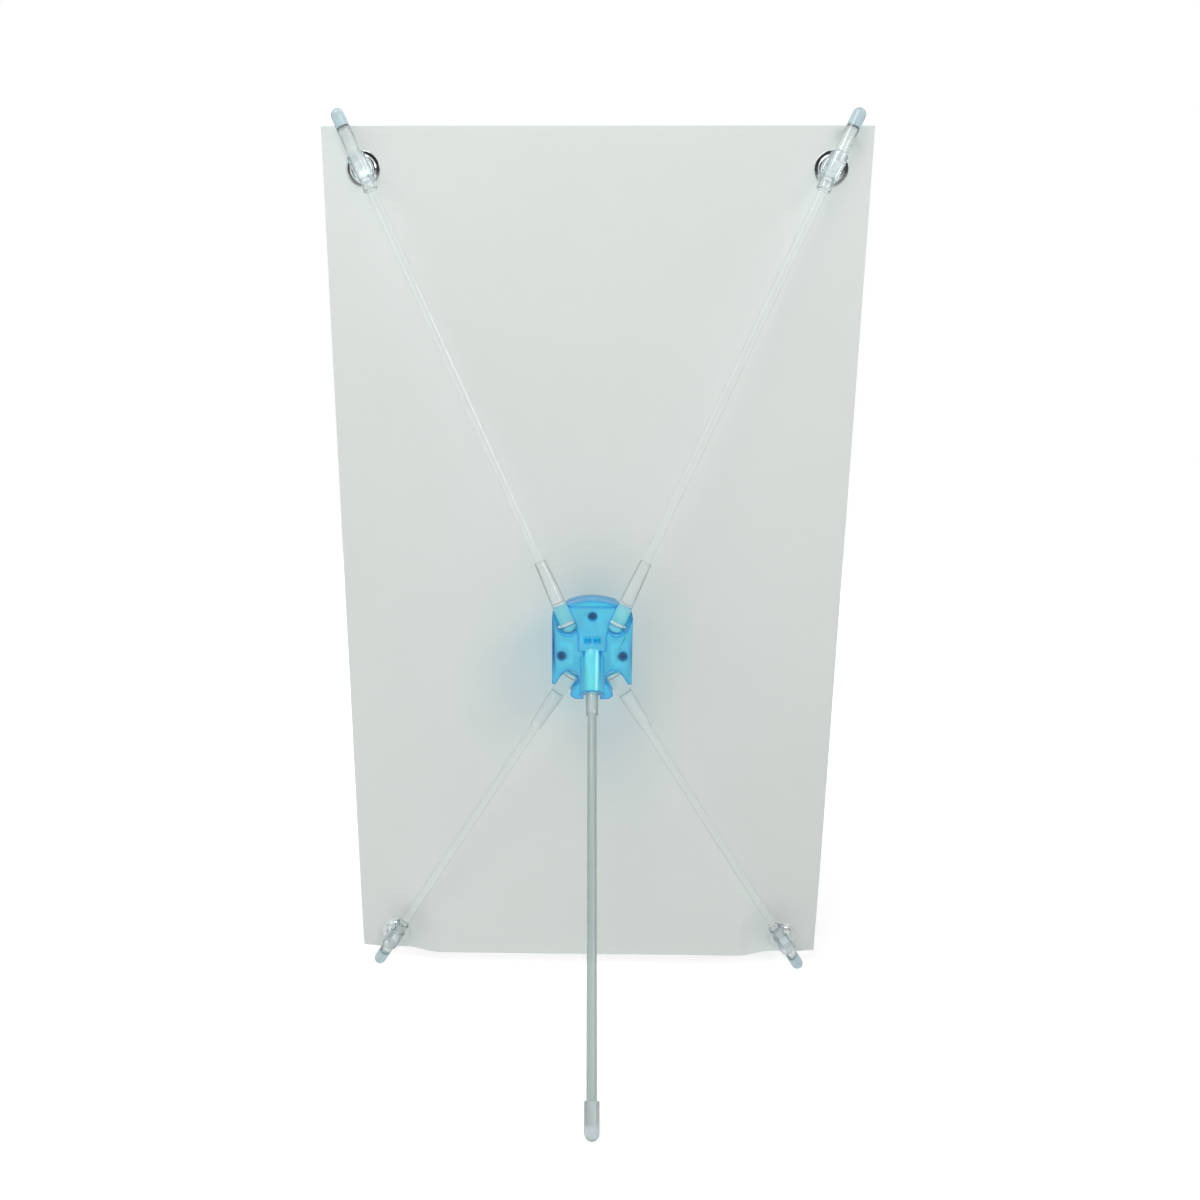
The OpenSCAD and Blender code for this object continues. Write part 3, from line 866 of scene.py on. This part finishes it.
class BANNERSTAND_OT_caps(Operator):
    """Make the four hook caps and the foot cap"""

    bl_idname = "banner_stand.caps"
    bl_label = "Caps"

    def execute(self, context):
        for arm in ARMS:
            hinge, line = LIMBS[arm]
            solid_from = reach_along(f"{arm}_rod", hinge, line)[1] + TIP_PAST_ROD
            shape = softened(f"{arm}_hook_cap", SMALL_ROUND)
            everything = [*shape.verts, *shape.edges, *shape.faces]
            bmesh.ops.bisect_plane(
                shape, geom=everything, plane_co=hinge + line * solid_from, plane_no=line)
            cap = add_piece(f"{arm}_cap", shape, "clear_cap_plastic",
                            BODIES[arm], [f"{arm}_hook_cap"])
            cap.data.materials.append(palette("smoky_tip_plastic"))
            for face in cap.data.polygons:
                if (face.center - hinge).dot(line) > solid_from:
                    face.material_index = 1
        # The foot cap gets painted grey for the surroundings seen through it.
        add_piece("leg_foot", softened("leg_foot_cap", FOOT_ROUND), "frosted_foot_plastic",
                  "leg", ["leg_foot_cap"])
        return {"FINISHED"}


# ---------------------------------------------------------------- the stage


def studio_world(look):
    """White all round for the camera and through clear plastic, and banded light for shiny surfaces."""
    world = bpy.data.worlds.new("studio")
    bpy.context.scene.world = world
    world.use_nodes = True
    tree = world.node_tree
    tree.nodes.clear()
    out = tree.nodes.new("ShaderNodeOutputWorld")
    path = add_node(tree, "ShaderNodeLightPath").outputs
    ambient = add_node(tree, "ShaderNodeBackground", Color=rgba((1, 1, 1)), Strength=look.ambient)
    direction = add_node(tree, "ShaderNodeTexCoord").outputs["Generated"]
    height = add_node(tree, "ShaderNodeSeparateXYZ", Vector=direction).outputs["Z"]
    bands = add_node(tree, "ShaderNodeValToRGB", Fac=ranged(tree, height, 0, 1, -1, 1))
    ramp = bands.color_ramp
    while len(ramp.elements) < len(SHINY_BANDS):
        ramp.elements.new(0.5)
    for element, (place, level) in zip(ramp.elements, SHINY_BANDS):
        element.position = place
        element.color = rgba((level, level, level))
    mirrored = add_node(tree, "ShaderNodeBackground", Color=bands.outputs[0], Strength=1.0)
    white = add_node(tree, "ShaderNodeBackground", Color=rgba((1, 1, 1)), Strength=1.0)
    shiny = add_node(tree, "ShaderNodeMixShader",
                     at={0: path["Is Glossy Ray"], 1: ambient.outputs[0], 2: mirrored.outputs[0]})
    seen = add_node(tree, "ShaderNodeMath", {"operation": "MAXIMUM"},
                    at={0: path["Is Camera Ray"], 1: path["Is Transmission Ray"]})
    both = add_node(tree, "ShaderNodeMixShader",
                    at={0: seen.outputs[0], 1: shiny.outputs[0], 2: white.outputs[0]})
    tree.links.new(both.outputs[0], out.inputs["Surface"])


def floor_paper(look):
    """White paper that keeps soft shadows and reads as white to the camera."""
    made, tree, out = new_material("floor_paper")
    tone = two_tone(tree, ranged(tree, grain(tree, 3, 3), 0, 1), (0.80, 0.80, 0.80), (0.82, 0.82, 0.82))
    paper = add_node(tree, "ShaderNodeBsdfDiffuse", Color=tone)
    path = add_node(tree, "ShaderNodeLightPath").outputs
    seen = add_node(tree, "ShaderNodeMath", {"operation": "MAXIMUM"},
                    at={0: path["Is Camera Ray"], 1: path["Is Transmission Ray"]})
    place = add_node(tree, "ShaderNodeTexCoord").outputs["Object"]
    away = add_node(tree, "ShaderNodeVectorMath", {"operation": "LENGTH"}, at={0: place}).outputs["Value"]
    level = ranged(tree, away, look.floor_glow, 1, *FLOOR_GLOW_REACH)
    lift = add_node(tree, "ShaderNodeMath", {"operation": "MULTIPLY"}, at={0: seen.outputs[0], 1: level})
    glow = add_node(tree, "ShaderNodeEmission", Color=rgba((1, 1, 1)), Strength=lift.outputs[0])
    both = add_node(tree, "ShaderNodeAddShader", at={0: paper.outputs[0], 1: glow.outputs[0]})
    tree.links.new(both.outputs[0], out.inputs["Surface"])
    return made


def add_floor(look):
    """Lays the paper floor under the stand."""
    mesh = bpy.data.meshes.new("floor")
    shape = bmesh.new()
    bmesh.ops.create_grid(shape, x_segments=8, y_segments=8, size=FLOOR_HALF)
    shape.to_mesh(mesh)
    shape.free()
    mesh.materials.append(floor_paper(look))
    floor = bpy.data.objects.new("floor", mesh)
    floor.location.z = CAD_BOX[0][2]
    bpy.context.scene.collection.objects.link(floor)


def add_lamp(name, place, size, shape, power):
    """Hangs a soft lamp that faces the stand and isn't itself seen."""
    lamp = bpy.data.lights.new(name, "AREA")
    lamp.shape = shape
    lamp.size = size
    lamp.energy = power
    holder = bpy.data.objects.new(name, lamp)
    holder.location = place
    holder.rotation_euler = (Vector(LAMP_TARGET) - Vector(place)).to_track_quat("-Z", "Y").to_euler()
    holder.visible_camera = False
    holder.visible_transmission = False
    bpy.context.scene.collection.objects.link(holder)


def add_camera(look):
    """Sets up the camera behind the stand."""
    camera = bpy.data.cameras.new("camera")
    camera.sensor_width = 36
    camera.lens = look.lens
    camera.shift_x, camera.shift_y = look.shift
    camera.clip_start = 0.01
    camera.clip_end = 30
    ahead = Vector((math.sin(look.turn) * math.cos(look.tilt), -math.cos(look.turn) * math.cos(look.tilt),
                    -math.sin(look.tilt)))
    right = ahead.cross(Vector((0, 0, 1))).normalized()
    above = right.cross(ahead)
    rolled_right = right * math.cos(look.roll) + above * math.sin(look.roll)
    rolled_above = above * math.cos(look.roll) - right * math.sin(look.roll)
    holder = bpy.data.objects.new("camera", camera)
    turn = Matrix((rolled_right, rolled_above, -ahead)).transposed().to_4x4()
    holder.matrix_world = Matrix.Translation(look.eye) @ turn
    bpy.context.scene.collection.objects.link(holder)
    bpy.context.scene.camera = holder


class BANNERSTAND_OT_stage(Operator):
    """Make the floor, the lamps and the camera"""

    bl_idname = "banner_stand.stage"
    bl_label = "Stage"

    def execute(self, context):
        look = context.scene.studio_look
        context.scene.view_settings.view_transform = "Standard"
        for kind, count in BOUNCES.items():
            setattr(context.scene.cycles, f"{kind}_bounces", count)
        studio_world(look)
        add_floor(look)
        for name, place, size, shape, power in LAMPS:
            add_lamp(name, place, size, shape, getattr(look, power))
        add_camera(look)
        return {"FINISHED"}


# ---------------------------------------------------------------- the add-on


OPERATORS = (
    BANNERSTAND_OT_stage, BANNERSTAND_OT_eyelets, BANNERSTAND_OT_roots, BANNERSTAND_OT_rods,
    BANNERSTAND_OT_caps, BANNERSTAND_OT_banner, BANNERSTAND_OT_hub_shells, BANNERSTAND_OT_hub_screws,
    BANNERSTAND_OT_hinge_pins,
)
LOOKS = {"banner_look": BannerLook, "plastic_look": PlasticLook, "studio_look": StudioLook}


class BANNERSTAND_PT_pieces(Panel):
    """Lists the stand's sizes, colours and pieces"""

    bl_idname = "BANNERSTAND_PT_pieces"
    bl_label = "Banner Stand"
    bl_space_type = "VIEW_3D"
    bl_region_type = "UI"
    bl_category = "Banner Stand"

    def draw(self, context):
        for name, kind in LOOKS.items():
            box = self.layout.box()
            for value in kind.__annotations__:
                box.prop(getattr(context.scene, name), value)
        for operator in OPERATORS:
            self.layout.operator(operator.bl_idname)


def register():
    """Adds the classes and gives the scene its three looks."""
    for kind in (*LOOKS.values(), *OPERATORS, BANNERSTAND_PT_pieces):
        bpy.utils.register_class(kind)
    for name, kind in LOOKS.items():
        setattr(bpy.types.Scene, name, PointerProperty(type=kind))


def unregister():
    """Takes away what register adds."""
    for name in LOOKS:
        delattr(bpy.types.Scene, name)
    for kind in (BANNERSTAND_PT_pieces, *reversed(OPERATORS), *reversed(LOOKS.values())):
        bpy.utils.unregister_class(kind)


def main():
    """Registers the add-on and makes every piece."""
    register()
    bpy.ops.banner_stand.stage()
    bpy.ops.banner_stand.eyelets()
    bpy.ops.banner_stand.roots()
    bpy.ops.banner_stand.rods()
    bpy.ops.banner_stand.caps()
    bpy.ops.banner_stand.banner()
    bpy.ops.banner_stand.hub_shells()
    bpy.ops.banner_stand.hub_screws()
    bpy.ops.banner_stand.hinge_pins()


if __name__ == "__main__":
    main()
